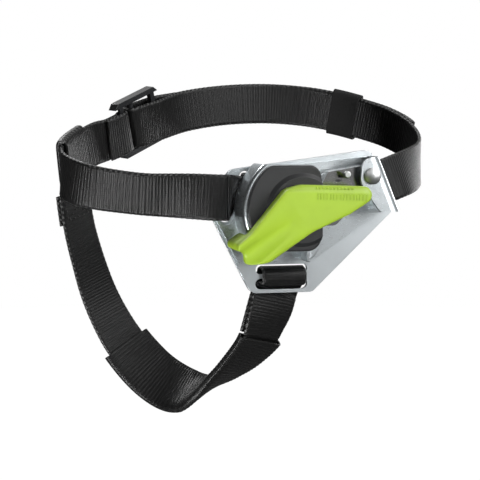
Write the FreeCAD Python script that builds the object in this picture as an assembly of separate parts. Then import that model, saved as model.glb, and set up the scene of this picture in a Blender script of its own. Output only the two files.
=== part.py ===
import FreeCAD, Part
import math
import os

# Foot-worn rope ascender: a folded steel body with a toothed cam, a gate lever over the rope
# channel, an ankle strap with a sliding-bar buckle, and a strap that passes under the boot.
#
# Frame: millimetres. X points right along the body, Z points up, and Y points back towards the
# boot. The front face of the back plate is Y = 0, and the gate lever turns about the Y axis.

V = FreeCAD.Vector
FRONT = V(0, -1, 0)
UP = V(0, 0, 1)

# ---- driving dimensions ----
SHEET = 2.0                 # steel sheet of the plate, the body and the drum
LINER = 1.5                 # sheet of the rope channel's liner
CHANNEL_DEPTH = 14.5        # clear depth of the channel, for ropes up to 13 mm
WEB_WIDTH = 20.0            # webbing
WEB_THICK = 1.8
SEWN_GAP = 0.25             # gap between layers that lie on each other
RUN_GAP = 0.06              # radial clearance of a turning part on its axle
SLIDE_GAP = 0.35            # clearance round a part that slides

BODY_FRONT = -SHEET                                        # front face of the body's back leg
LIP_BACK = BODY_FRONT - LINER - CHANNEL_DEPTH              # back face of the front lips
LIP_FRONT = LIP_BACK - SHEET
PLATE_BACK = SHEET

# body fold on the right: a line in XZ, leaning to the left at its top
FOLD_MID = (40.3, 11.6)
FOLD_LEAN = 22.3            # degrees from vertical
FOLD_OUTER_R = 5.0

# cam and its rivet
CAM_X = 31.8
CAM_Z = 14.0
CAM_AXLE_R = 2.5
CAM_BOSS_R = 4.5
CAM_HEAD_R = 3.6
CAM_BACK = -5.6
CAM_FRONT = -14.6
CAM_TEETH = 9
CAM_TOOTH_DEPTH = 0.9

# drum, cover and gate lever, all centred on the Y axis
DRUM_R = 25.0
DRUM_TOP = 19.2
DRUM_BOTTOM = -18.0
DRUM_RIGHT = 8.8
DRUM_WALL_X = -15.5         # the drum's side wall is left of this
DRUM_LEFT_CORNER = 7.0
COVER_R = 23.4
COVER_INSET = 0.45
COVER_THICK = 2.8
HUB_R = 15.6
HUB_RISE = 1.6
AXLE_R = 3.0
AXLE_HEAD_R = 6.0
WASHER_THICK = 0.6
LEVER_THICK = 8.0
CHANNEL_WALL_X = 5.5        # where the rope bears on the liner

# slots in the plate
LEFT_SLOT = ((-19.6, 13.4), (-28.4, -4.0))
LEFT_SLOT_WIDTH = 4.8
STRAP_RELIEF = 7.0          # wider slot in the sheets in front of the plate
FOOT_SLOT_X = (-12.4, 6.2)
UPPER_SLOT_Z = -27.3
UPPER_SLOT_WIDTH = 4.6
LOWER_SLOT_Z = -33.8
LOWER_SLOT_WIDTH = 4.8

# buckle: the place of its fixed bar, and its own axes along, across and out of the strap
BUCKLE_AT = V(-61.4, 68.35, 31.85)
BUCKLE_ALONG = V(0.739, 0.578, 0.335).normalize()
BUCKLE_LEAN = V(-0.208, -0.293, 0.933)
BUCKLE_SPAN = (-5.0, 28.0)  # the frame's ends, from the bar that holds the left strap
BUCKLE_EDGES = (-13.0, 14.5)
BUCKLE_DEPTH = (0.35, 4.9)
BUCKLE_RAIL = 2.5
BUCKLE_CUT = 3.6
BAR_R = 1.5
BAR_S = 8.4                 # the sliding bar's place along the buckle
BAR_TRAVEL = 1.2
BAR_OUT = 2.6               # its height above the strap's inner layer

# ---- routes of the webbing: centre (x, y, z) and the direction across the strap ----
# left stretch, from the plate's slot round the left to the buckle's middle bar
LEFT_ROUTE = [
    ((-28.0, -3.1, 4.4), (0.20, 0.0, 1.0)),
    ((-34.0, -3.0, 4.6), (0.05, 0.0, 1.0)),
    ((-42.0, -0.6, 5.0), (0.0, -0.12, 1.0)),
    ((-52.0, 2.2, 5.4), (0.0, -0.28, 0.97)),
    ((-63.0, 4.4, 5.9), (0.0, -0.36, 0.93)),
    ((-75.0, 8.0, 7.3), (-0.02, -0.33, 0.94)),
    ((-84.0, 11.8, 8.8), (-0.02, -0.24, 0.97)),
    ((-91.2, 17.0, 10.8), (0.0, -0.12, 0.99)),
    ((-95.3, 23.5, 13.4), (0.0, 0.0, 1.0)),
    ((-95.2, 31.0, 16.4), (0.0, -0.03, 1.0)),
    ((-91.6, 39.0, 19.6), (-0.02, -0.06, 1.0)),
    ((-85.0, 48.0, 23.4), (-0.06, -0.10, 0.99)),
    ((-77.5, 56.3, 26.8), (-0.12, -0.12, 0.98)),
]
# right stretch, from behind the plate round the right and the back to the buckle
RIGHT_ROUTE = [
    ((40.0, 4.8, 9.2), (-0.20, 0.0, 0.98)),
    ((46.5, 4.9, 10.8), (-0.36, 0.0, 0.93)),
    ((52.5, 7.2, 12.6), (-0.42, 0.02, 0.90)),
    ((59.0, 12.5, 14.2), (-0.36, 0.0, 0.93)),
    ((65.5, 20.5, 15.8), (-0.24, -0.06, 0.96)),
    ((71.0, 30.0, 17.6), (-0.12, -0.14, 0.98)),
    ((75.0, 40.5, 20.4), (-0.04, -0.18, 0.98)),
    ((76.6, 52.0, 24.8), (-0.02, -0.18, 0.98)),
    ((75.0, 63.5, 29.6), (-0.04, -0.14, 0.99)),
    ((69.0, 75.0, 34.4), (-0.08, -0.10, 0.99)),
    ((60.0, 84.5, 38.2), (-0.10, -0.08, 0.99)),
    ((48.0, 94.0, 42.0), (-0.12, -0.05, 0.99)),
    ((33.0, 101.0, 44.8), (-0.13, -0.02, 0.99)),
    ((14.0, 103.8, 46.0), (-0.14, 0.0, 0.99)),
    ((-8.0, 101.0, 45.0), (-0.15, 0.0, 0.99)),
    ((-28.0, 93.6, 42.0), (-0.17, -0.08, 0.98)),
]
# foot strap, from below the plate's slots, under the boot, to the left of the ankle strap
FOOT_ROUTE = [
    ((-4.9, 4.4, -39.0), (1.0, 0.0, 0.0)),
    ((-6.6, 4.8, -46.0), (1.0, 0.06, 0.0)),
    ((-8.4, 6.3, -52.5), (0.96, 0.22, -0.10)),
    ((-10.5, 9.0, -59.5), (0.90, 0.40, -0.16)),
    ((-15.5, 12.8, -67.0), (0.88, 0.45, -0.06)),
    ((-22.8, 17.5, -75.0), (0.88, 0.42, 0.15)),
    ((-31.0, 23.5, -82.3), (0.86, 0.30, 0.38)),
    ((-38.7, 30.5, -86.0), (0.82, 0.15, 0.55)),
    ((-46.0, 37.5, -84.5), (0.84, 0.05, 0.53)),
    ((-55.0, 43.5, -77.8), (0.90, 0.08, 0.42)),
    ((-65.0, 48.0, -65.7), (0.95, 0.20, 0.22)),
    ((-72.0, 50.5, -53.5), (0.92, 0.36, 0.12)),
    ((-77.5, 51.3, -40.8), (0.87, 0.48, 0.06)),
    ((-82.0, 50.3, -26.6), (0.81, 0.58, 0.02)),
    ((-85.6, 48.2, -13.3), (0.77, 0.63, 0.0)),
    ((-87.6, 46.2, -2.2), (0.75, 0.66, 0.0)),
    ((-88.6, 45.0, 5.0), (0.74, 0.67, 0.0)),
]
# the same strap's fold: down the front of the bar between the two lower slots, with its end
# sewn on behind
WRAP_ROUTE = [
    ((-4.8, 4.3, -38.6), (1.0, 0.0, 0.0)),
    ((-3.6, 3.5, -36.2), (1.0, 0.0, 0.0)),
    ((-2.6, 1.2, -34.1), (1.0, 0.0, 0.0)),
    ((-2.2, -1.3, -33.1), (1.0, 0.0, 0.0)),
    ((-2.1, -2.0, -30.6), (1.0, 0.0, 0.0)),
    ((-2.1, -1.3, -28.2), (1.0, 0.0, 0.0)),
    ((-2.1, 1.0, -27.2), (1.0, 0.0, 0.0)),
    ((-2.2, 3.8, -27.1), (1.0, 0.0, 0.0)),
    ((-2.6, 5.9, -28.8), (1.0, 0.0, 0.0)),
    ((-3.4, 6.45, -33.0), (1.0, 0.0, 0.0)),
    ((-5.3, 6.55, -39.0), (1.0, 0.0, 0.0)),
    ((-7.4, 6.95, -45.4), (1.0, 0.05, 0.0)),
    ((-9.5, 8.35, -51.8), (0.97, 0.20, -0.08)),
    ((-11.3, 10.15, -56.8), (0.91, 0.38, -0.15)),
]
SLEEVE_SPANS = (3, 10)      # the wear sleeve covers the foot strap between these route points
SLEEVE_WIDTH = 24.6
SLEEVE_WALL = 1.1
KEEPER_SPANS = (10.15, 11.05)
KEEPER_WALL = 1.2
TAIL_START = 15.0           # where the turned strap meets the outside of the right stretch
TAIL_END = 23 / 3             # the free tail ends here along the right route


# ---- flat shapes in the XZ plane ----
def rounded_face(corners, y):
    """A flat face at depth y whose corners (x, z, radius) are joined by tangent arcs."""
    edges = []
    starts = []
    ends = []
    count = len(corners)
    for i in range(count):
        before, here, after = corners[i - 1], corners[i], corners[(i + 1) % count]
        point = V(here[0], y, here[1])
        to_before = (V(before[0], y, before[1]) - point).normalize()
        to_after = (V(after[0], y, after[1]) - point).normalize()
        half = to_before.getAngle(to_after) / 2
        reach = here[2] / math.tan(half)
        start = point + to_before * reach
        end = point + to_after * reach
        bisector = (to_before + to_after).normalize()
        middle = point + bisector * (here[2] / math.sin(half) - here[2])
        starts.append(start)
        ends.append(end)
        if here[2] > 0:
            edges.append(Part.Arc(start, middle, end).toShape())
        if i > 0 and (start - ends[i - 1]).Length > 1e-6:
            edges.append(Part.LineSegment(ends[i - 1], start).toShape())
    if (ends[-1] - starts[0]).Length > 1e-6:
        edges.append(Part.LineSegment(ends[-1], starts[0]).toShape())
    return Part.Face(Part.Wire(Part.sortEdges(edges)[0]))


def rounded_prism(corners, y_low, y_high):
    """An outline in XZ, from depth y_low to y_high."""
    return rounded_face(corners, y_low).extrude(V(0, y_high - y_low, 0))


def rod(x, z, radius, y_low, y_high):
    """A cylinder along Y."""
    return Part.makeCylinder(radius, y_high - y_low, V(x, y_low, z), V(0, 1, 0))


def ring(x, z, inner, outer, y_low, y_high):
    """A tube along Y."""
    return rod(x, z, outer, y_low, y_high).cut(rod(x, z, inner, y_low - 1, y_high + 1))


def long_hole(start, end, width, y_low, y_high):
    """A slot with round ends, between two points in XZ."""
    a = V(start[0], y_low, start[1])
    b = V(end[0], y_low, end[1])
    along = (b - a).normalize()
    side = along.cross(V(0, 1, 0)) * (width / 2)
    face = Part.Face(Part.makePolygon([a + side, b + side, b - side, a - side, a + side]))
    middle = face.extrude(V(0, y_high - y_low, 0))
    caps = [rod(p[0], p[1], width / 2, y_low, y_high) for p in (start, end)]
    return middle.fuse(caps).removeSplitter()


def spun(profile):
    """A solid turned about the Y axis from (radius, y) points."""
    points = [V(radius, y, 0) for radius, y in profile]
    face = Part.Face(Part.makePolygon(points + points[:1]))
    return face.revolve(V(0, 0, 0), V(0, 1, 0), 360)


# ---- webbing ----
def smooth(values, position):
    """A point on the smooth curve through the list, at a place counted in list steps."""
    last = len(values) - 1
    step = min(int(position), last - 1)
    t = position - step
    before = values[step - 1] if step > 0 else values[0] * 2 - values[1]
    here = values[step]
    there = values[step + 1]
    after = values[step + 2] if step + 2 <= last else values[last] * 2 - values[last - 1]
    return (here * 2 + (there - before) * t
            + (before * 2 - here * 5 + there * 4 - after) * (t * t)
            + (here * 3 - before - there * 3 + after) * (t * t * t)) * 0.5


def stations(route, first=0.0, last=None, per_span=3):
    """Centres and across directions along a stretch of a route."""
    centres = [V(*centre) for centre, across in route]
    acrosses = [V(*across) for centre, across in route]
    last = len(route) - 1 if last is None else last
    count = max(2, int(round((last - first) * per_span)) + 1)
    places = [first + (last - first) * i / (count - 1) for i in range(count)]
    return [(smooth(centres, place), smooth(acrosses, place).normalize()) for place in places]


def face_normals(line):
    """The direction out of the webbing's face at each station."""
    normals = []
    for i in range(len(line)):
        low = line[max(i - 1, 0)][0]
        high = line[min(i + 1, len(line) - 1)][0]
        normals.append((high - low).cross(line[i][1]).normalize())
    return normals


def rectangle_rings(line, width, thick, shift=0.0):
    """Four corner points at each station."""
    rings = []
    for (centre, across), out in zip(line, face_normals(line)):
        middle = centre + out * shift
        side = across * (width / 2)
        deep = out * (thick / 2)
        rings.append([middle - side - deep, middle + side - deep,
                      middle + side + deep, middle - side + deep])
    return rings


def triangle(a, b, c):
    return Part.Face(Part.makePolygon([a, b, c, a]))


def band_faces(rings):
    """Triangles round the outside of a run of rings."""
    faces = []
    for low, high in zip(rings, rings[1:]):
        for k in range(4):
            j = (k + 1) % 4
            faces.append(triangle(low[k], low[j], high[j]))
            faces.append(triangle(low[k], high[j], high[k]))
    return faces


def closed_solid(faces):
    solid = Part.makeSolid(Part.makeShell(faces))
    if solid.Volume < 0:
        solid.reverse()
    return solid


def strap(line, width=WEB_WIDTH, thick=WEB_THICK, shift=0.0):
    """A flat strap along its stations."""
    rings = rectangle_rings(line, width, thick, shift)
    faces = band_faces(rings)
    for end in (rings[0], rings[-1]):
        faces.append(triangle(end[0], end[1], end[2]))
        faces.append(triangle(end[0], end[2], end[3]))
    return closed_solid(faces)


def flat_tube(line, width, thick, wall, shift=0.0):
    """A flattened tube along its stations, open at both ends."""
    outer = rectangle_rings(line, width, thick, shift)
    inner = rectangle_rings(line, width - 2 * wall, thick - 2 * wall, shift)
    faces = band_faces(outer) + band_faces(inner)
    for end in (0, -1):
        for k in range(4):
            j = (k + 1) % 4
            faces.append(triangle(outer[end][k], outer[end][j], inner[end][j]))
            faces.append(triangle(outer[end][k], inner[end][j], inner[end][k]))
    return closed_solid(faces)


# ---- plate and body ----
PLATE_CORNERS = [(-27.0, 16.4, 5), (37.5, 24.8, 4), (48.6, -1.8, 3),
                 (11.0, -37.8, 3.5), (-16.9, -37.8, 5), (-35.0, -2.8, 3)]
BODY_CORNERS = [(-25.6, 15.6, 4.5), (60.0, 24.2, 0), (60.0, -1.6, 0), (43.5, -1.6, 4),
                (8.6, -25.0, 4), (-22.4, -25.0, 1.5), (-33.6, -2.8, 3)]
FLANGE_CORNERS = [(27.4, 21.4, 5), (60.0, 24.2, 0), (60.0, -1.6, 0), (35.6, -1.6, 3),
                  (26.6, 11.0, 8)]


def left_slot(width, y_low, y_high):
    return long_hole(LEFT_SLOT[0], LEFT_SLOT[1], width, y_low, y_high)


def make_back_plate():
    plate = rounded_prism(PLATE_CORNERS, 0, PLATE_BACK)
    foot_slots = [
        long_hole((FOOT_SLOT_X[0], z), (FOOT_SLOT_X[1], z), width, -1, PLATE_BACK + 1)
        for z, width in ((UPPER_SLOT_Z, UPPER_SLOT_WIDTH), (LOWER_SLOT_Z, LOWER_SLOT_WIDTH))]
    axle_holes = [rod(0, 0, AXLE_R + RUN_GAP, -1, PLATE_BACK + 1),
                  rod(CAM_X, CAM_Z, CAM_AXLE_R + RUN_GAP, -1, PLATE_BACK + 1)]
    return plate.cut([left_slot(LEFT_SLOT_WIDTH, -1, PLATE_BACK + 1)] + foot_slots + axle_holes)


def folded_section(length):
    """The body's C section, extruded along the fold."""
    lean = math.radians(FOLD_LEAN)
    outward = V(math.cos(lean), 0, math.sin(lean))
    along = V(math.sin(lean), 0, -math.cos(lean))
    reach = 80.0
    start = V(FOLD_MID[0], 0, FOLD_MID[1]) - along * (length / 2)

    def block(right, y_low, y_high, corner_r):
        def at(u, y):
            return start + outward * u + V(0, y, 0)
        bend = corner_r * (1 - math.sqrt(0.5))
        edges = [
            Part.LineSegment(at(-reach, y_high), at(right - corner_r, y_high)),
            Part.Arc(at(right - corner_r, y_high), at(right - bend, y_high - bend),
                     at(right, y_high - corner_r)),
            Part.LineSegment(at(right, y_high - corner_r), at(right, y_low + corner_r)),
            Part.Arc(at(right, y_low + corner_r), at(right - bend, y_low + bend),
                     at(right - corner_r, y_low)),
            Part.LineSegment(at(right - corner_r, y_low), at(-reach, y_low)),
            Part.LineSegment(at(-reach, y_low), at(-reach, y_high)),
        ]
        return Part.Face(Part.Wire([edge.toShape() for edge in edges])).extrude(along * length)

    outer = block(0, LIP_FRONT, 0, FOLD_OUTER_R)
    inner = block(-SHEET, LIP_BACK, BODY_FRONT, FOLD_OUTER_R - SHEET)
    inner_left = inner.copy()
    inner_left.translate(outward * -1.0)
    return outer.cut(inner.fuse(inner_left))


def make_body():
    section = folded_section(90.0)
    split = BODY_FRONT - 4.0
    back_leg = section.common(rounded_prism(BODY_CORNERS, split, 1))
    front_leg = section.common(rounded_prism(FLANGE_CORNERS, LIP_FRONT - 1, split))
    body = back_leg.fuse(front_leg).removeSplitter()
    return body.cut([left_slot(STRAP_RELIEF, BODY_FRONT - 1, 1),
                     rod(0, 0, AXLE_R + RUN_GAP, BODY_FRONT - 1, 1),
                     rod(CAM_X, CAM_Z, CAM_AXLE_R + RUN_GAP, LIP_FRONT - 1, 1)])


# ---- rope channel: liner, drum and cover ----
def make_liner():
    """A J section: a back leg on the body, and a wall that the rope bears on."""
    right = 12.4
    left = -6.0
    back_corner_r = 6.0
    wall_left = CHANNEL_WALL_X - LINER
    top = 17.3
    low = -22.9
    wall_low = -18.0
    bend = back_corner_r * (1 - math.sqrt(0.5))
    inner_r = back_corner_r - LINER
    inner_bend = inner_r * (1 - math.sqrt(0.5))
    back = BODY_FRONT
    floor = BODY_FRONT - LINER
    points = {
        "wall": [V(wall_left, LIP_BACK, low), V(wall_left, back - back_corner_r, low)],
        "inner": [V(CHANNEL_WALL_X, floor - inner_r, low), V(CHANNEL_WALL_X, LIP_BACK, low)],
    }
    outer_mid = V(wall_left + bend, back - bend, low)
    outer_end = V(wall_left + back_corner_r, back, low)
    inner_start = V(CHANNEL_WALL_X + inner_r, floor, low)
    inner_mid = V(CHANNEL_WALL_X + inner_bend, floor - inner_bend, low)
    edges = [
        Part.LineSegment(*points["wall"]),
        Part.Arc(points["wall"][1], outer_mid, outer_end),
        Part.LineSegment(outer_end, V(right, back, low)),
        Part.LineSegment(V(right, back, low), V(right, floor, low)),
        Part.LineSegment(V(right, floor, low), inner_start),
        Part.Arc(inner_start, inner_mid, points["inner"][0]),
        Part.LineSegment(*points["inner"]),
        Part.LineSegment(points["inner"][1], points["wall"][0]),
    ]
    section = Part.Face(Part.Wire([edge.toShape() for edge in edges])).extrude(V(0, 0, top - low))
    outline = rounded_prism([(left, top, 0), (right, top, 2), (right, low, 4.5), (left, low, 0)],
                            LIP_BACK - 1, 1)
    below_wall = Part.makeBox(30, 40, 20, V(left, LIP_BACK - 30, wall_low - 20))
    below_wall.translate(V(0, -8.0, 0))
    return section.common(outline).cut(below_wall)


def drum_outline(radius, top, bottom, right, y_low, y_high):
    """The circle that the drum and its cover share, cut flat above, below and on the right."""
    box = rounded_prism([(-40, top, 0), (right, top, 5), (right + 0.3, bottom, 6), (-40, bottom, 0)],
                        y_low, y_high)
    outline = rod(0, 0, radius, y_low, y_high).common(box)
    left_corners = [edge for edge in outline.Edges
                    if edge.BoundBox.XLength < 0.01 and edge.BoundBox.ZLength < 0.01
                    and edge.BoundBox.XMax < 0]
    return outline.makeFillet(DRUM_LEFT_CORNER, left_corners)


def make_drum():
    """A pressed steel pan: the rope channel's front lip, with a side wall on its left."""
    edge_r = 2.0
    steps = 6
    outer_edge = [(DRUM_R - edge_r + edge_r * math.sin(math.pi / 2 * i / steps),
                   LIP_FRONT + edge_r - edge_r * math.cos(math.pi / 2 * i / steps))
                  for i in range(steps + 1)]
    profile = [(0, LIP_FRONT)] + outer_edge + [
        (DRUM_R, BODY_FRONT), (DRUM_R - SHEET, BODY_FRONT), (DRUM_R - SHEET, LIP_BACK), (0, LIP_BACK)]
    pan = spun(profile)
    pan = pan.common(drum_outline(DRUM_R + 1, DRUM_TOP, DRUM_BOTTOM, DRUM_RIGHT,
                                  LIP_FRONT - 1, BODY_FRONT + 1))
    open_side = Part.makeBox(60, -LIP_BACK + 2, 80, V(DRUM_WALL_X, LIP_BACK, -40))
    return pan.cut([open_side, left_slot(STRAP_RELIEF, BODY_FRONT - 1.6, BODY_FRONT + 1),
                    rod(0, 0, AXLE_R + RUN_GAP, LIP_FRONT - 1, LIP_BACK + 1)])


def cover_limits(y_low, y_high):
    return drum_outline(COVER_R, DRUM_TOP - COVER_INSET, DRUM_BOTTOM + COVER_INSET,
                        DRUM_RIGHT - COVER_INSET, y_low, y_high)


def make_cover():
    front = LIP_FRONT - COVER_THICK
    base = cover_limits(front, LIP_FRONT)
    base = base.makeChamfer(0.6, [edge for edge in base.Edges
                                  if edge.BoundBox.YMax < front + 0.01])
    hub = Part.makeCone(HUB_R - 1.6, HUB_R, HUB_RISE, V(0, front - HUB_RISE, 0), V(0, 1, 0))
    hub = hub.common(cover_limits(front - HUB_RISE, front))
    bore = rod(0, 0, AXLE_R + RUN_GAP, front - 10, LIP_FRONT + 1)
    return base.fuse(hub).removeSplitter().cut(bore)


COVER_FRONT = LIP_FRONT - COVER_THICK - HUB_RISE
LEVER_BACK = COVER_FRONT - WASHER_THICK - 0.15
LEVER_FRONT = LEVER_BACK - LEVER_THICK


def make_axle():
    """A rivet from behind the plate, through the drum, into the lever."""
    head = Part.makeCone(AXLE_HEAD_R, AXLE_HEAD_R - 1.2, 1.3, V(0, PLATE_BACK, 0), V(0, 1, 0))
    shaft = rod(0, 0, AXLE_R, LEVER_FRONT + 2.2, PLATE_BACK)
    collar_front = LEVER_FRONT + 2.0
    collar = rod(0, 0, AXLE_R + 1.2, collar_front, collar_front + 1.2)
    return head.fuse([shaft, collar]).removeSplitter()


def make_axle_sleeve():
    return ring(0, 0, AXLE_R + RUN_GAP, CHANNEL_WALL_X - LINER - 0.1, LIP_BACK, BODY_FRONT)


def make_washer():
    return ring(0, 0, AXLE_R + RUN_GAP, 10.0, COVER_FRONT - WASHER_THICK, COVER_FRONT)


# ---- gate lever ----
LEVER_ARM = [(-9.5, 9.2, 4), (-2.6, 11.0, 4), (26.6, 10.0, 2), (28.0, 7.4, 1.2),
             (27.8, 4.4, 2), (18.5, -1.4, 8), (2.0, -8.8, 6), (-16.0, -21.2, 6),
             (-26.6, -22.6, 2), (-26.2, -17.0, 2), (-32.3, -15.7, 1.8), (-24.4, -9.0, 6)]
LEVER_FLAP = [(-24.6, -9.0, 1), (-23.2, -13.4, 1), (-26.0, -16.8, 1.5), (-30.4, -16.4, 2),
              (-30.8, -13.4, 2)]
FLAP_BACK = -13.0
SPRING_POCKET_R = 7.2
SPRING_POCKET_DEPTH = 4.5


def make_lever():
    arm = rounded_prism(LEVER_ARM, LEVER_FRONT, LEVER_BACK)
    flap = rounded_prism(LEVER_FLAP, LEVER_BACK - 2.0, FLAP_BACK)
    valley_start = V(-6.5, LEVER_FRONT - 4.4, -5.0)
    valley_end = V(-33.0, LEVER_FRONT - 1.2, -25.0)
    run = valley_end - valley_start
    valley = Part.makeCylinder(5.0, run.Length, valley_start, run)
    pocket = ring(0, 0, AXLE_R, SPRING_POCKET_R, LEVER_BACK - SPRING_POCKET_DEPTH, LEVER_BACK + 1)
    bore = rod(0, 0, AXLE_R + RUN_GAP, LEVER_FRONT + 2.0, LEVER_BACK + 1)
    collar_room = rod(0, 0, AXLE_R + 1.5, LEVER_FRONT + 1.8, LEVER_FRONT + 3.5)
    return arm.fuse(flap).removeSplitter().cut([valley, pocket, bore, collar_room])


def torsion_spring(x, z, radius, wire_r, y_first, turns, leg):
    """A torsion spring wound about Y, with a straight leg along the wire at each end."""
    pitch = 2.3 * wire_r
    helix = Part.makeHelix(pitch, pitch * turns, radius)
    slope = pitch / (2 * math.pi * radius)
    run = V(0, 1, slope).normalize() * leg
    start = V(radius, 0, 0)
    end = V(radius, 0, pitch * turns)
    path = Part.Wire([Part.LineSegment(start - run, start).toShape()] + helix.Edges
                     + [Part.LineSegment(end, end + run).toShape()])
    section = Part.Wire(Part.Circle(start - run, run, wire_r).toShape())
    spring = path.makePipeShell([section], True, False)
    spring.rotate(V(0, 0, 0), V(1, 0, 0), -90)
    spring.rotate(V(0, 0, 0), V(0, 1, 0), 180)
    spring.translate(V(x, y_first, z))
    return spring


def make_lever_spring():
    y_first = LEVER_BACK - SPRING_POCKET_DEPTH + 0.8
    return torsion_spring(0, 0, 5.0, 0.45, y_first, 3, 3.6)


# ---- cam ----
CAM_BODY = [(13.6, 15.6, 2.0), (31.0, 18.45, 0.8), (35.4, 16.2, 1.5), (34.6, 9.6, 3.5),
            (17.0, -7.6, 4.0), (9.6, -7.2, 2.2), (7.2, 1.0, 10.0), (11.2, 11.0, 4.0)]
CAM_FACE = ((7.6, -4.8), (10.6, 8.8))       # the toothed face, from its low end to its high end
CAM_FACE_BULGE = 1.0
CAM_EYE_X = 18.0
CAM_EYE_Z = 13.6
CAM_EYE_R = 2.3
CAM_PIN_X = 21.9
CAM_PIN_Z = 14.4
CAM_PIN_R = 1.6


def tooth_cutter(index):
    """A wedge cut across the cam's gripping face."""
    share = (index + 0.5) / CAM_TEETH
    low, high = CAM_FACE
    bulge = CAM_FACE_BULGE * 4 * share * (1 - share)
    x = low[0] + (high[0] - low[0]) * share - bulge
    z = low[1] + (high[1] - low[1]) * share
    half = 0.42 * (high[1] - low[1]) / CAM_TEETH
    points = [V(x - 1.6, 0, z - half * 1.6), V(x - 1.6, 0, z + half),
              V(x + CAM_TOOTH_DEPTH, 0, z + half * 0.9)]
    face = Part.Face(Part.makePolygon(points + points[:1]))
    face.translate(V(0, CAM_FRONT - 1, 0))
    return face.extrude(V(0, CAM_BACK - CAM_FRONT + 2, 0))


def make_cam():
    plate = rounded_prism(CAM_BODY, CAM_FRONT, CAM_BACK)
    boss = rod(CAM_X, CAM_Z, CAM_BOSS_R, CAM_FRONT, CAM_BACK)
    cutters = [tooth_cutter(i) for i in range(CAM_TEETH)]
    bore = rod(CAM_X, CAM_Z, CAM_AXLE_R + RUN_GAP, CAM_FRONT - 1, CAM_BACK + 1)
    eye = rod(CAM_EYE_X, CAM_EYE_Z, CAM_EYE_R, CAM_FRONT - 1, CAM_FRONT + 3.5)
    pin_hole = rod(CAM_PIN_X, CAM_PIN_Z, CAM_PIN_R, CAM_FRONT - 1, CAM_FRONT + 4.0)
    return plate.fuse(boss).removeSplitter().cut(cutters + [bore, eye, pin_hole])


def make_cam_pin():
    pin = rod(CAM_PIN_X, CAM_PIN_Z, CAM_PIN_R, CAM_FRONT - 2.4, CAM_FRONT + 4.0)
    return pin.makeFillet(0.6, [edge for edge in pin.Edges
                                if edge.BoundBox.YMax < CAM_FRONT - 2.3])


def make_cam_axle():
    """A domed rivet through the flange, the cam, the body and the plate."""
    side = LIP_FRONT - 1.3
    crown = 0.9
    crown_r = (CAM_HEAD_R ** 2 + crown ** 2) / (2 * crown)
    ball = Part.makeSphere(crown_r, V(CAM_X, side - crown + crown_r, CAM_Z))
    dome = ball.common(rod(CAM_X, CAM_Z, CAM_HEAD_R, side - crown - 1, LIP_FRONT))
    shaft = rod(CAM_X, CAM_Z, CAM_AXLE_R, LIP_FRONT, PLATE_BACK)
    tail = Part.makeCone(CAM_HEAD_R, CAM_HEAD_R - 1.0, 1.2, V(CAM_X, PLATE_BACK, CAM_Z), V(0, 1, 0))
    return dome.fuse([shaft, tail]).removeSplitter()


def make_cam_spacer():
    return ring(CAM_X, CAM_Z, CAM_AXLE_R + RUN_GAP, CAM_BOSS_R - 1.1, CAM_BACK + 0.1,
                BODY_FRONT - 0.3)


def make_cam_spring():
    return torsion_spring(CAM_X, CAM_Z, CAM_AXLE_R + 0.9, 0.35, LIP_BACK + 1.25, 2, 4.0)


# ---- ankle strap and its buckle ----
BUCKLE_ACROSS = (BUCKLE_LEAN - BUCKLE_ALONG * BUCKLE_LEAN.dot(BUCKLE_ALONG)).normalize()
BUCKLE_OUT = BUCKLE_ACROSS.cross(BUCKLE_ALONG).normalize()


def in_buckle(along, out, across=0.0):
    """A point given in the buckle's own axes."""
    return BUCKLE_AT + BUCKLE_ALONG * along + BUCKLE_OUT * out + BUCKLE_ACROSS * across


def buckle_route(points):
    return [(tuple(in_buckle(*point)), tuple(BUCKLE_ACROSS)) for point in points]


# points of the straps in the buckle, as (along, out, across)
# the left strap folds round the fixed bar, and its end comes back on the inside
FOLD_ROUTE = [(-13.0, 1.3, 0.6), (-8.0, 1.4, 0.3), (-3.5, 2.0, 0.0), (-0.6, 3.1, 0.0),
              (1.9, 3.2, 0.0), (3.1, 1.4, 0.0), (1.9, -0.4, 0.0), (-1.5, -1.0, 0.0),
              (-6.5, -0.9, 0.2), (-12.5, -0.8, 0.6)]
# the right strap comes in underneath, turns round the sliding bar and goes back as the tail
TURN_ROUTE = [(25.0, -0.9, -2.4), (20.0, -0.9, -1.8), (16.0, -0.9, -1.2), (12.0, -0.95, -0.8),
              (8.8, -0.7, -0.4), (6.6, 0.4, -0.2), (5.6, 2.3, 0.0), (6.0, 4.4, 0.0),
              (7.9, 5.75, -0.1), (10.6, 6.05, -0.3), (14.0, 6.1, -0.6), (19.0, 6.15, -1.1),
              (24.0, 6.15, -1.7), (28.5, 5.9, -2.3), (33.0, 4.9, -3.0), (38.0, 2.9, -3.7),
              (41.7, 1.2, -4.25)]


LAYER = WEB_THICK + SEWN_GAP


def left_line():
    """Stations of the left stretch, from the slot to the buckle's middle bar."""
    return stations(LEFT_ROUTE + buckle_route(FOLD_ROUTE))


def slot_line():
    """Stations through the plate's slanted slot and behind the plate."""
    lean = V(LEFT_SLOT[0][0] - LEFT_SLOT[1][0], 0, LEFT_SLOT[0][1] - LEFT_SLOT[1][1])
    lean_out = lean.normalize()
    behind = PLATE_BACK + 2.7
    route = [
        ((-28.0, -3.1, 4.4), (0.20, 0.0, 1.0)),
        ((-25.6, -2.0, 4.5), tuple(lean_out)),
        ((-23.6, 0.6, 4.6), tuple(lean_out)),
        ((-21.8, 3.4, 4.7), tuple(lean_out)),
        ((-18.5, behind, 4.9), (0.40, 0.0, 0.92)),
        ((-8.0, behind, 5.6), (0.10, 0.0, 1.0)),
        ((10.0, behind, 6.8), (0.0, 0.0, 1.0)),
        ((28.0, behind, 8.1), (-0.06, 0.0, 1.0)),
        ((40.0, 4.8, 9.2), (-0.20, 0.0, 0.98)),
    ]
    return stations(route, per_span=3)


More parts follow.
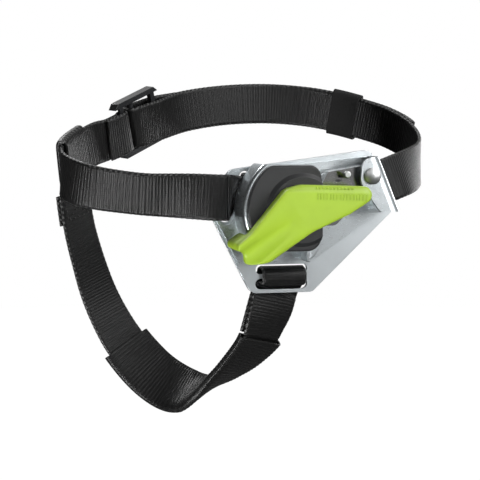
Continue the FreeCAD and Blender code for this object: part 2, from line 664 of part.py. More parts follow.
def right_line(first=0.0, last=None):
    """Stations of the right stretch, from behind the plate into the buckle."""
    return stations(RIGHT_ROUTE + buckle_route(TURN_ROUTE), first, last)


def tail_line():
    """Stations of the free tail, which lies outside the right stretch."""
    under = right_line(TAIL_END, TAIL_START)
    return [(centre + out * LAYER, across)
            for (centre, across), out in zip(under, face_normals(under))]


def make_keeper():
    line = stations(RIGHT_ROUTE, KEEPER_SPANS[0], KEEPER_SPANS[1], 4)
    thick = 2 * WEB_THICK + SEWN_GAP + 2 * (KEEPER_WALL + SLIDE_GAP)
    width = WEB_WIDTH + 2 * (KEEPER_WALL + SLIDE_GAP)
    return flat_tube(line, width, thick, KEEPER_WALL, LAYER / 2)


def local_prism(corners, out_low, out_high):
    """An outline in the buckle's along and across axes, between two heights."""
    points = [in_buckle(along, out_low, across) for along, across in corners]
    face = Part.Face(Part.makePolygon(points + points[:1]))
    return face.extrude(BUCKLE_OUT * (out_high - out_low))


def local_box(along, across, out):
    corners = [(along[0], across[0]), (along[1], across[0]),
               (along[1], across[1]), (along[0], across[1])]
    return local_prism(corners, out[0], out[1])


def make_buckle_frame():
    """Two side rails joined by a fixed bar and an end bar, with windows for the sliding bar."""
    left, right = BUCKLE_SPAN
    low, high = BUCKLE_EDGES
    back, front = BUCKLE_DEPTH
    cut = BUCKLE_CUT
    corners = [(left, low + cut), (left + cut, low), (right - cut, low), (right, low + cut),
               (right, high - cut), (right - cut, high), (left + cut, high), (left, high - cut)]
    inside = (low + BUCKLE_RAIL, high - BUCKLE_RAIL)
    into_rails = (inside[0] - 0.5, inside[1] + 0.5)
    rails = local_prism(corners, back, front).cut(
        local_box((left - 1, right + 1), inside, (back - 1, front + 1)))
    fixed_bar = local_box((-1.1, 1.3), into_rails, (back, back + 1.45))
    end_bar = local_box((right - 6.0, right - 3.2), into_rails, (back + 0.6, back + 3.0))
    room = BAR_R + SLIDE_GAP
    windows = [local_box((BAR_S - room, BAR_S + BAR_TRAVEL + room), (side - 1.4, side + 1.4),
                         (BAR_OUT - room, BAR_OUT + room)) for side in inside]
    return rails.fuse([fixed_bar, end_bar]).removeSplitter().cut(windows)


def make_buckle_bar():
    """The sliding bar, whose ends run in the frame's windows."""
    low = BUCKLE_EDGES[0] + BUCKLE_RAIL - 1.0
    high = BUCKLE_EDGES[1] - BUCKLE_RAIL + 1.0
    return Part.makeCylinder(BAR_R, high - low, in_buckle(BAR_S, BAR_OUT, low), BUCKLE_ACROSS)


# ---- foot strap ----
def make_bar_wrap():
    """The foot strap's fold over the bar between the plate's two lower slots."""
    return strap(stations(WRAP_ROUTE, per_span=3))


def make_foot_strap():
    return strap(stations(FOOT_ROUTE, per_span=3))


def make_sleeve():
    line = stations(FOOT_ROUTE, SLEEVE_SPANS[0], SLEEVE_SPANS[1], 3)
    thick = WEB_THICK + 2 * SLEEVE_WALL + 0.8
    return flat_tube(line, SLEEVE_WIDTH, thick, SLEEVE_WALL)


def make_strap_loop():
    """The foot strap's sewn end, a flat loop round the ankle strap."""
    line = stations(LEFT_ROUTE, 9.35, 11.15, 3)
    thick = WEB_THICK + 2 * (WEB_THICK + 0.15)
    return flat_tube(line, WEB_WIDTH + 2 * (WEB_THICK + 0.25), thick, WEB_THICK)


def make_loop_tab():
    """The doubled end below the loop, sewn to the foot strap."""
    last = len(FOOT_ROUTE) - 1.0
    line = stations(FOOT_ROUTE, last - 1.55, last, 3)
    return strap(line, WEB_WIDTH, WEB_THICK, LAYER)


def save(name, shape):
    solids = shape.Solids
    kept = solids[0] if len(solids) == 1 else Part.makeCompound(solids)
    print(name, "solids", len(solids), "valid", kept.isValid(), "volume", round(kept.Volume, 1))
    kept.exportStep("parts/" + name + ".step")


def main():
    os.makedirs("parts", exist_ok=True)
    save("back_plate", make_back_plate())
    save("channel_body", make_body())
    save("channel_liner", make_liner())
    save("channel_drum", make_drum())
    save("drum_cover", make_cover())
    save("lever_axle", make_axle())
    save("axle_sleeve", make_axle_sleeve())
    save("lever_washer", make_washer())
    save("gate_lever", make_lever())
    save("lever_spring", make_lever_spring())
    save("cam", make_cam())
    save("cam_pin", make_cam_pin())
    save("cam_axle", make_cam_axle())
    save("cam_spacer", make_cam_spacer())
    save("cam_spring", make_cam_spring())
    save("ankle_strap_left", strap(left_line()))
    save("ankle_strap_plate", strap(slot_line()))
    save("ankle_strap_right", strap(right_line()))
    save("strap_tail", strap(tail_line()))
    save("strap_keeper", make_keeper())
    save("buckle_frame", make_buckle_frame())
    save("buckle_bar", make_buckle_bar())
    save("foot_strap_wrap", make_bar_wrap())
    save("foot_strap", make_foot_strap())
    save("wear_sleeve", make_sleeve())
    save("foot_strap_loop", make_strap_loop())
    save("foot_strap_tab", make_loop_tab())


main()
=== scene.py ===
import math

import bmesh
import bpy
import numpy as np
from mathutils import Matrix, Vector


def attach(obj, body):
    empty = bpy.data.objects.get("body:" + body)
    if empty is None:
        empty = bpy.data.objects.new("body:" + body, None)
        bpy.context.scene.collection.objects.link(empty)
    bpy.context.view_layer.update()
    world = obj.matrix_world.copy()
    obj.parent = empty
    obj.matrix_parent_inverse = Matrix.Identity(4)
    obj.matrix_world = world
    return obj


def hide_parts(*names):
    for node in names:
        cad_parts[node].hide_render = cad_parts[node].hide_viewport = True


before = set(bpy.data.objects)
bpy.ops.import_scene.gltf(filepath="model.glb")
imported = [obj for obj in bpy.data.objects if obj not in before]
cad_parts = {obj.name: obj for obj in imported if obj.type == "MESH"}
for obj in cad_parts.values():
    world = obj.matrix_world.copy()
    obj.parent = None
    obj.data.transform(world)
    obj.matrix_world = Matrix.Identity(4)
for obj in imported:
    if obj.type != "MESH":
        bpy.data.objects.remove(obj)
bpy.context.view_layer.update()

# Sizes below are millimetres in the part's own frame; MM turns them into scene metres.
MM = 0.001
BODY = "body"
LEVER = "lever"
CAM = "cam"
BAR = "sliding_bar"

WEB_WIDTH = 20.0
WEB_THICK = 1.8
LAYER = 2.05                # from one layer of webbing to the next
RIB_PITCH = 1.4
RIB_STEPS = 5               # stations along one rib
EDGE_PITCH = 2.4            # length of one turn of a thread at a band's edge
EDGE_SLANT = 20.0           # how far those turns lean, in radians over half a width

LEFT_ROUTE = [
    ((-28.0, -3.1, 4.4), (0.20, 0.0, 1.0)),
    ((-34.0, -3.0, 4.6), (0.05, 0.0, 1.0)),
    ((-42.0, -0.6, 5.0), (0.0, -0.12, 1.0)),
    ((-52.0, 2.2, 5.4), (0.0, -0.28, 0.97)),
    ((-63.0, 4.4, 5.9), (0.0, -0.36, 0.93)),
    ((-75.0, 8.0, 7.3), (-0.02, -0.33, 0.94)),
    ((-84.0, 11.8, 8.8), (-0.02, -0.24, 0.97)),
    ((-91.2, 17.0, 10.8), (0.0, -0.12, 0.99)),
    ((-95.3, 23.5, 13.4), (0.0, 0.0, 1.0)),
    ((-95.2, 31.0, 16.4), (0.0, -0.03, 1.0)),
    ((-91.6, 39.0, 19.6), (-0.02, -0.06, 1.0)),
    ((-85.0, 48.0, 23.4), (-0.06, -0.10, 0.99)),
    ((-77.5, 56.3, 26.8), (-0.12, -0.12, 0.98)),
]
RIGHT_ROUTE = [
    ((40.0, 4.8, 9.2), (-0.20, 0.0, 0.98)),
    ((46.5, 4.9, 10.8), (-0.36, 0.0, 0.93)),
    ((52.5, 7.2, 12.6), (-0.42, 0.02, 0.90)),
    ((59.0, 12.5, 14.2), (-0.36, 0.0, 0.93)),
    ((65.5, 20.5, 15.8), (-0.24, -0.06, 0.96)),
    ((71.0, 30.0, 17.6), (-0.12, -0.14, 0.98)),
    ((75.0, 40.5, 20.4), (-0.04, -0.18, 0.98)),
    ((76.6, 52.0, 24.8), (-0.02, -0.18, 0.98)),
    ((75.0, 63.5, 29.6), (-0.04, -0.14, 0.99)),
    ((69.0, 75.0, 34.4), (-0.08, -0.10, 0.99)),
    ((60.0, 84.5, 38.2), (-0.10, -0.08, 0.99)),
    ((48.0, 94.0, 42.0), (-0.12, -0.05, 0.99)),
    ((33.0, 101.0, 44.8), (-0.13, -0.02, 0.99)),
    ((14.0, 103.8, 46.0), (-0.14, 0.0, 0.99)),
    ((-8.0, 101.0, 45.0), (-0.15, 0.0, 0.99)),
    ((-28.0, 93.6, 42.0), (-0.17, -0.08, 0.98)),
]
SLOT_LEAN = (0.451, 0.0, 0.892)
SLOT_ROUTE = [
    ((-28.0, -3.1, 4.4), (0.20, 0.0, 1.0)),
    ((-25.6, -2.0, 4.5), SLOT_LEAN),
    ((-23.6, 0.6, 4.6), SLOT_LEAN),
    ((-21.8, 3.4, 4.7), SLOT_LEAN),
    ((-18.5, 4.7, 4.9), (0.40, 0.0, 0.92)),
    ((-8.0, 4.7, 5.6), (0.10, 0.0, 1.0)),
    ((10.0, 4.7, 6.8), (0.0, 0.0, 1.0)),
    ((28.0, 4.7, 8.1), (-0.06, 0.0, 1.0)),
    ((40.0, 4.8, 9.2), (-0.20, 0.0, 0.98)),
]
FOOT_ROUTE = [
    ((-4.9, 4.4, -39.0), (1.0, 0.0, 0.0)),
    ((-6.6, 4.8, -46.0), (1.0, 0.06, 0.0)),
    ((-8.4, 6.3, -52.5), (0.96, 0.22, -0.10)),
    ((-10.5, 9.0, -59.5), (0.90, 0.40, -0.16)),
    ((-15.5, 12.8, -67.0), (0.88, 0.45, -0.06)),
    ((-22.8, 17.5, -75.0), (0.88, 0.42, 0.15)),
    ((-31.0, 23.5, -82.3), (0.86, 0.30, 0.38)),
    ((-38.7, 30.5, -86.0), (0.82, 0.15, 0.55)),
    ((-46.0, 37.5, -84.5), (0.84, 0.05, 0.53)),
    ((-55.0, 43.5, -77.8), (0.90, 0.08, 0.42)),
    ((-65.0, 48.0, -65.7), (0.95, 0.20, 0.22)),
    ((-72.0, 50.5, -53.5), (0.92, 0.36, 0.12)),
    ((-77.5, 51.3, -40.8), (0.87, 0.48, 0.06)),
    ((-82.0, 50.3, -26.6), (0.81, 0.58, 0.02)),
    ((-85.6, 48.2, -13.3), (0.77, 0.63, 0.0)),
    ((-87.6, 46.2, -2.2), (0.75, 0.66, 0.0)),
    ((-88.6, 45.0, 5.0), (0.74, 0.67, 0.0)),
]
WRAP_ROUTE = [
    ((-4.8, 4.3, -38.6), (1.0, 0.0, 0.0)),
    ((-3.6, 3.5, -36.2), (1.0, 0.0, 0.0)),
    ((-2.6, 1.2, -34.1), (1.0, 0.0, 0.0)),
    ((-2.2, -1.3, -33.1), (1.0, 0.0, 0.0)),
    ((-2.1, -2.0, -30.6), (1.0, 0.0, 0.0)),
    ((-2.1, -1.3, -28.2), (1.0, 0.0, 0.0)),
    ((-2.1, 1.0, -27.2), (1.0, 0.0, 0.0)),
    ((-2.2, 3.8, -27.1), (1.0, 0.0, 0.0)),
    ((-2.6, 5.9, -28.8), (1.0, 0.0, 0.0)),
    ((-3.4, 6.45, -33.0), (1.0, 0.0, 0.0)),
    ((-5.3, 6.55, -39.0), (1.0, 0.0, 0.0)),
    ((-7.4, 6.95, -45.4), (1.0, 0.05, 0.0)),
    ((-9.5, 8.35, -51.8), (0.97, 0.20, -0.08)),
    ((-11.3, 10.15, -56.8), (0.91, 0.38, -0.15)),
]
SLEEVE_SPANS = (3.0, 10.0)
SLEEVE_WIDTH = 24.6
SLEEVE_THICK = 4.8
SLEEVE_WALL = 1.0
KEEPER_SPANS = (10.15, 11.05)
KEEPER_WIDTH = 23.1
KEEPER_THICK = 6.7
KEEPER_WALL = 1.1
TAIL_SPANS = (23 / 3, 15.0)
LOOP_SPANS = (9.35, 11.15)
LOOP_WIDTH = 24.1
LOOP_THICK = 5.7
LOOP_WALL = 1.7
TAB_SPANS = (14.45, 16.0)

BUCKLE_AT = np.array((-61.4, 68.35, 31.85))
# points of the straps in the buckle, as (along, out, across)
FOLD_ROUTE = [(-13.0, 1.3, 0.6), (-8.0, 1.4, 0.3), (-3.5, 2.0, 0.0), (-0.6, 3.1, 0.0),
              (1.9, 3.2, 0.0), (3.1, 1.4, 0.0), (1.9, -0.4, 0.0), (-1.5, -1.0, 0.0),
              (-6.5, -0.9, 0.2), (-12.5, -0.8, 0.6)]
TURN_ROUTE = [(25.0, -0.9, -2.4), (20.0, -0.9, -1.8), (16.0, -0.9, -1.2), (12.0, -0.95, -0.8),
              (8.8, -0.7, -0.4), (6.6, 0.4, -0.2), (5.6, 2.3, 0.0), (6.0, 4.4, 0.0),
              (7.9, 5.75, -0.1), (10.6, 6.05, -0.3), (14.0, 6.1, -0.6), (19.0, 6.15, -1.1),
              (24.0, 6.15, -1.7), (28.5, 5.9, -2.3), (33.0, 4.9, -3.0), (38.0, 2.9, -3.7),
              (41.7, 1.2, -4.25)]


def unit(v):
    v = np.asarray(v, float)
    return v / np.linalg.norm(v)


BUCKLE_ALONG = unit((0.739, 0.578, 0.335))
BUCKLE_LEAN = np.array((-0.208, -0.293, 0.933))
BUCKLE_ACROSS = unit(BUCKLE_LEAN - BUCKLE_ALONG * BUCKLE_LEAN.dot(BUCKLE_ALONG))
BUCKLE_OUT = unit(np.cross(BUCKLE_ACROSS, BUCKLE_ALONG))


def in_buckle(along, out, across):
    return BUCKLE_AT + BUCKLE_ALONG * along + BUCKLE_OUT * out + BUCKLE_ACROSS * across


# ---------------------------------------------------------------- materials
def new_material(name):
    mat = bpy.data.materials.new(name)
    mat.use_nodes = True
    nodes = mat.node_tree.nodes
    shader = next(n for n in nodes if n.type == "BSDF_PRINCIPLED")
    return mat, nodes, mat.node_tree.links, shader


def add_noise(nodes, links, vector, scale, detail=3.0, rough=0.55):
    node = nodes.new("ShaderNodeTexNoise")
    node.inputs["Scale"].default_value = scale
    node.inputs["Detail"].default_value = detail
    node.inputs["Roughness"].default_value = rough
    links.new(vector, node.inputs["Vector"])
    return node.outputs["Fac"]


def add_ramp(nodes, links, source, stops):
    node = nodes.new("ShaderNodeValToRGB")
    ramp = node.color_ramp
    while len(ramp.elements) < len(stops):
        ramp.elements.new(0.5)
    for element, (place, colour) in zip(ramp.elements, stops):
        element.position = place
        element.color = (*colour, 1.0)
    links.new(source, node.inputs["Fac"])
    return node.outputs["Color"]


def add_math(nodes, links, kind, a, b=None, c=None):
    node = nodes.new("ShaderNodeMath")
    node.operation = kind
    for socket, value in zip(node.inputs, (a, b, c)):
        if value is None:
            continue
        if isinstance(value, (int, float)):
            socket.default_value = value
        else:
            links.new(value, socket)
    return node.outputs[0]


def add_bump(nodes, links, height, strength, distance, below=None):
    node = nodes.new("ShaderNodeBump")
    node.inputs["Strength"].default_value = strength
    node.inputs["Distance"].default_value = distance
    links.new(height, node.inputs["Height"])
    if below is not None:
        links.new(below, node.inputs["Normal"])
    return node.outputs["Normal"]


def add_mix(nodes, links, factor, below, above):
    """A colour socket with one plain colour laid over it as far as the factor says."""
    node = nodes.new("ShaderNodeMix")
    node.data_type = "RGBA"
    links.new(factor, node.inputs["Factor"])
    links.new(below, node.inputs["A"])
    node.inputs["B"].default_value = (*above, 1.0)
    return node.outputs["Result"]


def grey(v):
    return (v, v, v)


def object_coords(nodes):
    return nodes.new("ShaderNodeTexCoord").outputs["Object"]


def steel_material(name, base, rough, tint=0.92, scratch=0.15):
    """Satin pressed steel: faint mottling, fine scratches and brighter or duller patches."""
    mat, nodes, links, shader = new_material(name)
    coords = object_coords(nodes)
    mottle = add_noise(nodes, links, coords, 60.0, 4.0)
    dark = tuple(c * tint for c in base)
    links.new(add_ramp(nodes, links, mottle, [(0.35, dark), (0.65, base)]),
              shader.inputs["Base Color"])
    shader.inputs["Metallic"].default_value = 1.0
    stretch = nodes.new("ShaderNodeMapping")
    stretch.inputs["Scale"].default_value = (1.0, 1.0, 14.0)
    stretch.inputs["Rotation"].default_value = (0.0, 0.3, 0.0)
    links.new(coords, stretch.inputs["Vector"])
    lines = add_noise(nodes, links, stretch.outputs["Vector"], 420.0, 3.0, 0.7)
    grain = add_noise(nodes, links, coords, 2600.0, 2.0)
    links.new(add_ramp(nodes, links, lines, [(0.3, grey(rough * 0.85)), (0.75, grey(rough * 1.2))]),
              shader.inputs["Roughness"])
    fine = add_bump(nodes, links, grain, 0.12, 0.0001)
    links.new(add_bump(nodes, links, lines, scratch, 0.00008, fine), shader.inputs["Normal"])
    return mat


def plastic_material(name, base, rough, grain_scale, grain_depth, variation=0.12, coat=0.0):
    """Moulded plastic with a fine grain and slight colour variation."""
    mat, nodes, links, shader = new_material(name)
    coords = object_coords(nodes)
    patches = add_noise(nodes, links, coords, 90.0, 4.0)
    low = tuple(c * (1 - variation) for c in base)
    high = tuple(min(1.0, c * (1 + variation)) for c in base)
    links.new(add_ramp(nodes, links, patches, [(0.3, low), (0.7, high)]),
              shader.inputs["Base Color"])
    grain = add_noise(nodes, links, coords, grain_scale, 2.0)
    links.new(add_ramp(nodes, links, grain, [(0.3, grey(rough * 0.9)), (0.7, grey(rough * 1.12))]),
              shader.inputs["Roughness"])
    links.new(add_bump(nodes, links, grain, 0.25, grain_depth), shader.inputs["Normal"])
    shader.inputs["Coat Weight"].default_value = coat
    return mat


THREAD_PITCH = 0.00055      # metres from thread to thread along a band
THREADS_ACROSS = 17.0       # threads over half a width
GLINTS_FROM = 0.925         # place across a band where the painted glints of its edge start


def webbing_material(name, dark, light, rough, edge_glint, thread=0.00010):
    """Woven band: threads along and across, painted lighter on their crests and darker between them
    as shade, with painted glints where the edge threads turn.

    The mesh carries "weave": metres along the band, place across it from -1 to 1, and 0."""
    mat, nodes, links, shader = new_material(name)

    def calc(kind, a, b=None):
        return add_math(nodes, links, kind, a, b)

    weave = nodes.new("ShaderNodeAttribute")
    weave.attribute_name = "weave"
    place = weave.outputs["Vector"]
    split = nodes.new("ShaderNodeSeparateXYZ")
    links.new(place, split.inputs[0])
    along = split.outputs["X"]
    across = split.outputs["Y"]
    wobble = add_noise(nodes, links, place, 220.0, 2.0)
    run = calc("MULTIPLY", along, 2 * math.pi / THREAD_PITCH)
    along_waves = calc("SINE", calc("ADD", run, calc("MULTIPLY", wobble, 2.5)))
    across_waves = calc("SINE", calc("MULTIPLY", across, 2 * math.pi * THREADS_ACROSS))
    threads = calc("ADD", along_waves, calc("MULTIPLY", across_waves, 0.75))
    stretched = nodes.new("ShaderNodeMapping")
    stretched.inputs["Scale"].default_value = (900.0, 4.0, 1.0)
    links.new(place, stretched.inputs["Vector"])
    yarn = add_noise(nodes, links, stretched.outputs["Vector"], 1.0, 3.0, 0.7)
    # painted shade: thread colour is lighter on the crests and darker in the grooves between
    # threads, mixed with random yarn tone
    thread_shade_and_yarn_tone = calc("ADD", calc("MULTIPLY", threads, 0.16), yarn)
    body_colour = add_ramp(nodes, links, thread_shade_and_yarn_tone, [(0.25, dark), (0.75, light)])
    # painted glints: light spots only near the band's two edges, slanted along it
    edge = calc("GREATER_THAN", calc("ABSOLUTE", across), GLINTS_FROM)
    turns = calc("MULTIPLY", along, 2 * math.pi / (EDGE_PITCH * MM))
    slant = calc("SINE", calc("ADD", turns, calc("MULTIPLY", across, EDGE_SLANT)))
    glint_spots = calc("MULTIPLY", edge, calc("GREATER_THAN", slant, 0.25))
    patchy = add_ramp(nodes, links, add_noise(nodes, links, place, 130.0, 1.0),
                      [(0.40, grey(0.0)), (0.62, grey(1.0))])
    painted_glints = calc("MULTIPLY", calc("MULTIPLY", glint_spots, yarn), patchy)
    # painted highlight: light glints laid into the base colour along the edge threads
    links.new(add_mix(nodes, links, painted_glints, body_colour, grey(edge_glint)),
              shader.inputs["Base Color"])
    links.new(add_ramp(nodes, links, yarn, [(0.2, grey(rough * 0.85)), (0.8, grey(rough * 1.25))]),
              shader.inputs["Roughness"])
    shader.inputs["Specular IOR Level"].default_value = 0.20
    shader.inputs["Sheen Weight"].default_value = 0.02
    shader.inputs["Sheen Roughness"].default_value = 0.4
    fuzz = add_noise(nodes, links, object_coords(nodes), 2500.0, 2.0)
    low = add_bump(nodes, links, fuzz, 0.3, 0.00006)
    links.new(add_bump(nodes, links, threads, 0.25, thread, low), shader.inputs["Normal"])
    return mat



MAT = {
    "steel_plate": steel_material("satin_steel_plate", (0.62, 0.66, 0.68), 0.38),
    "steel_body": steel_material("satin_steel_body", (0.63, 0.675, 0.695), 0.30),
    "rivet_steel": steel_material("rivet_steel", (0.52, 0.53, 0.53), 0.40, 0.95, 0.08),
    "spring_steel": steel_material("spring_wire", (0.55, 0.56, 0.57), 0.3),
    "cam_steel": steel_material("polished_cam_steel", (0.30, 0.30, 0.30), 0.16, 0.85, 0.05),
    "cover_plastic": plastic_material("black_cover_plastic", (0.013, 0.0133, 0.0142), 0.48,
                                      2600.0, 0.00006, 0.18),
    "washer_plastic": plastic_material("black_washer", (0.02, 0.02, 0.021), 0.5, 2600.0, 0.00005),
    "lever_plastic": plastic_material("lime_lever_plastic", (0.29, 0.43, 0.028), 0.46,
                                      1800.0, 0.00003, 0.05),
    "buckle_metal": plastic_material("black_coated_buckle", (0.016, 0.0165, 0.018), 0.3,
                                     1200.0, 0.00003, 0.15, 0.3),
    # bands: dark and light thread tones, roughness, then the grey of the painted glints along their
    # edges
    "webbing": webbing_material("black_webbing", grey(0.0042), grey(0.011), 0.33, 0.20),
    "elastic": webbing_material("black_elastic", grey(0.006), grey(0.011), 0.8, 0.014, 0.00005),
    "sleeve_webbing": webbing_material("sleeve_webbing", grey(0.0045), grey(0.011), 0.35, 0.03),
}


# ---------------------------------------------------------------- mesh helpers
def mesh_object(name, verts, faces, slot, nodes, weave=None):
    """A finished piece on the main body: verts in millimetres, its finish and its CAD nodes."""
    mesh = bpy.data.meshes.new(name)
    mesh.from_pydata((np.asarray(verts, float) * MM).tolist(), [], faces)
    mesh.validate()
    obj = bpy.data.objects.new(name, mesh)
    bpy.context.collection.objects.link(obj)
    if weave is not None:
        layer = mesh.attributes.new("weave", "FLOAT_VECTOR", "POINT")
        layer.data.foreach_set("vector", np.asarray(weave, np.float32).ravel())
    fix_normals(mesh)
    mesh.shade_smooth()
    finish_piece(obj, slot, BODY, nodes)


def fix_normals(mesh):
    bm = bmesh.new()
    bm.from_mesh(mesh)
    bmesh.ops.recalc_face_normals(bm, faces=bm.faces)
    bm.to_mesh(mesh)
    bm.free()


def finish_piece(obj, slot, body, nodes):
    obj.data.materials.clear()
    obj.data.materials.append(MAT[slot])
    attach(obj, body)
    if nodes:
        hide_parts(*nodes)


def apply_modifiers(obj):
    graph = bpy.context.evaluated_depsgraph_get()
    mesh = bpy.data.meshes.new_from_object(obj.evaluated_get(graph), depsgraph=graph)
    obj.modifiers.clear()
    obj.data = mesh


BEVEL_ANGLE = math.radians(32.0)        # sharper edges than this are rounded
CREASE_ANGLE = math.radians(38.0)       # sharper edges than this stay visible creases
MOULDED_CREASE = math.radians(50.0)     # the same for the moulded lever
FLAT_ANGLE = math.radians(0.6)          # facets flatter than this are merged


def softened(name, node, slot, body, width, segments=2):
    """A copy of a CAD node with its sharp edges rounded, standing for that node."""
    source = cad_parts[node]
    mesh = source.data.copy()
    mesh.name = name
    obj = bpy.data.objects.new(name, mesh)
    bpy.context.collection.objects.link(obj)
    bm = bmesh.new()
    bm.from_mesh(mesh)
    bmesh.ops.remove_doubles(bm, verts=bm.verts, dist=1e-6)
    bmesh.ops.dissolve_limit(bm, angle_limit=FLAT_ANGLE, verts=bm.verts, edges=bm.edges)
    bm.to_mesh(mesh)
    bm.free()
    bevel = obj.modifiers.new("soft_edges", "BEVEL")
    bevel.width = width * MM
    bevel.segments = segments
    bevel.limit_method = "ANGLE"
    bevel.angle_limit = BEVEL_ANGLE
    bevel.use_clamp_overlap = True
    apply_modifiers(obj)
    obj.data.shade_smooth()
    obj.data.set_sharp_from_angle(angle=CREASE_ANGLE)
    flat = obj.modifiers.new("flat_faces", "WEIGHTED_NORMAL")
    flat.mode = "FACE_AREA"
    flat.weight = 100
    flat.keep_sharp = True
    apply_modifiers(obj)
    finish_piece(obj, slot, body, [node])


# ---------------------------------------------------------------- webbing
def spline(values, places):
    """Catmull-Rom through the values, read at fractional indexes."""
    values = np.asarray(values, float)
    last = len(values) - 1
    step = np.clip(places.astype(int), 0, last - 1)
    t = (places - step)[:, None]
    padded = np.vstack([2 * values[0] - values[1], values, 2 * values[-1] - values[-2]])
    a, b, c, d = (padded[step + k] for k in range(4))
    return 0.5 * (2 * b + (c - a) * t + (2 * a - 5 * b + 4 * c - d) * t * t
                  + (3 * b - a - 3 * c + d) * t * t * t)


def rows_unit(v):
    return v / np.linalg.norm(v, axis=1)[:, None]


FINE_STEPS = 60                         # samples of one span when its length is measured


class Course:
    """A band's centre line sampled evenly by length: s, centre, across and out."""

    def __init__(self, route, first=0.0, last=None, step=RIB_PITCH / RIB_STEPS):
        last = len(route) - 1.0 if last is None else last
        centres = [c for c, a in route]
        acrosses = [a for c, a in route]
        fine = np.linspace(first, last, int((last - first) * FINE_STEPS) + 2)
        points = spline(centres, fine)
        run = np.concatenate([[0], np.cumsum(np.linalg.norm(np.diff(points, axis=0), axis=1))])
        count = max(3, int(round(run[-1] / step)) + 1)
        self.s = np.linspace(0, run[-1], count)
        places = np.interp(self.s, run, fine)
        self.centre = spline(centres, places)
        self.across = rows_unit(spline(acrosses, places))
        tangent = rows_unit(np.gradient(self.centre, axis=0))
        self.out = rows_unit(np.cross(tangent, self.across))
        self.across = rows_unit(np.cross(self.out, tangent) * -1.0)
        flip = np.sign(np.sum(self.across * spline(acrosses, places), axis=1))
        self.across *= flip[:, None]

    def shifted(self, out):
        self.centre = self.centre + self.out * out
        return self


BAND_COLUMNS = 17
BAND_THICK = WEB_THICK - 0.08           # a little thin, since the selvages rise above it
EDGE_ROUND = 0.55                       # width of a rounded edge, in half thicknesses
THINNEST = 0.04                         # half thickness at the very edge


def section_points(width, thick, columns):
    """Half of a band's section: place across (-1..1) and half thickness at each column."""
    half = width / 2
    round_from = 1 - EDGE_ROUND * thick / half / 2
    t = np.sin(np.linspace(-math.pi / 2, math.pi / 2, columns))
    t = 0.45 * t + 0.55 * np.linspace(-1, 1, columns)
    over = np.clip((np.abs(t) - round_from) / (1 - round_from), 0, 1)
    height = thick / 2 * np.sqrt(np.clip(1 - over ** 2, 0, 1))
    return t, np.maximum(height, THINNEST)


def rib_profile(s, pitch, sharp):
    """0 in the groove to 1 on the crest, at each station."""
    return (0.5 + 0.5 * np.cos(2 * math.pi * s / pitch)) ** sharp


CREST_SHARP = 0.4                       # under 1, the ribs have broad crests and narrow grooves
SELVAGE_AT = 0.93                       # place across the band of its thick edge threads
SELVAGE_WIDTH = 0.035
SELVAGE_RISE = 0.05
EDGE_WAVE = 0.05
EDGE_ROUGH = 0.02


def band(name, course, nodes, depth):
    """A woven band with real ribs across it, thick selvages and closed ends."""
    t, height = section_points(WEB_WIDTH, BAND_THICK, BAND_COLUMNS)
    around = 2 * BAND_COLUMNS
    fade = np.clip((0.94 - np.abs(t)) / 0.06, 0, 1)
    selvage = np.exp(-((np.abs(t) - SELVAGE_AT) / SELVAGE_WIDTH) ** 2)
    top_rib = rib_profile(course.s, RIB_PITCH, CREST_SHARP)[:, None]
    low_rib = rib_profile(course.s + RIB_PITCH / 2, RIB_PITCH, CREST_SHARP)[:, None]
    turns = 2 * math.pi * course.s / EDGE_PITCH
    twill = 0.5 + 0.5 * np.sin(turns[:, None] + EDGE_SLANT * t[None, :])
    bulge = SELVAGE_RISE * selvage[None, :] * twill
    top = height[None, :] - depth * (1 - top_rib) * fade[None, :] + bulge
    low = height[None, :] - depth * (1 - low_rib) * fade[None, :] + bulge
    side = WEB_WIDTH / 2 + EDGE_WAVE * np.sin(turns)
    n = len(course.s)
    rng = np.random.default_rng(len(name) * 7 + n)
    rough = EDGE_ROUGH * rng.standard_normal((n, 1))
    spread = t[None, :] * (side[:, None] + rough)
    centre = course.centre[:, None, :]
    across = course.across[:, None, :]
    out = course.out[:, None, :]
    upper = centre + across * spread[:, :, None] + out * top[:, :, None]
    lower = centre + across * spread[:, :, None] - out * low[:, :, None]
    ring = np.concatenate([upper, lower[:, ::-1, :]], axis=1)
    weave = np.zeros((n, around, 3))
    weave[:, :, 0] = course.s[:, None] * MM
    weave[:, :, 1] = np.concatenate([t, t[::-1]])
    verts = ring.reshape(-1, 3)
    faces = ring_faces(n, around)
    faces.append(list(range(around)))
    faces.append(list(range((n - 1) * around, n * around)))
    mesh_object(name, verts, faces, "webbing", nodes, weave.reshape(-1, 3))


def ring_faces(rows, columns):
    """Quads between neighbouring rings of points."""
    i = np.arange(rows - 1)[:, None] * columns
    j = np.arange(columns)[None, :]
    k = (j + 1) % columns
    quads = np.stack([i + j, i + k, i + columns + k, i + columns + j], axis=2)
    return quads.reshape(-1, 4).tolist()


TUBE_COLUMNS = 40
TUBE_SHARP = 0.8
FLARE_REACH = 3.0                       # how far in from its ends a tube opens up
WAVE_REACH = 1.2                        # how far in its ends are uneven


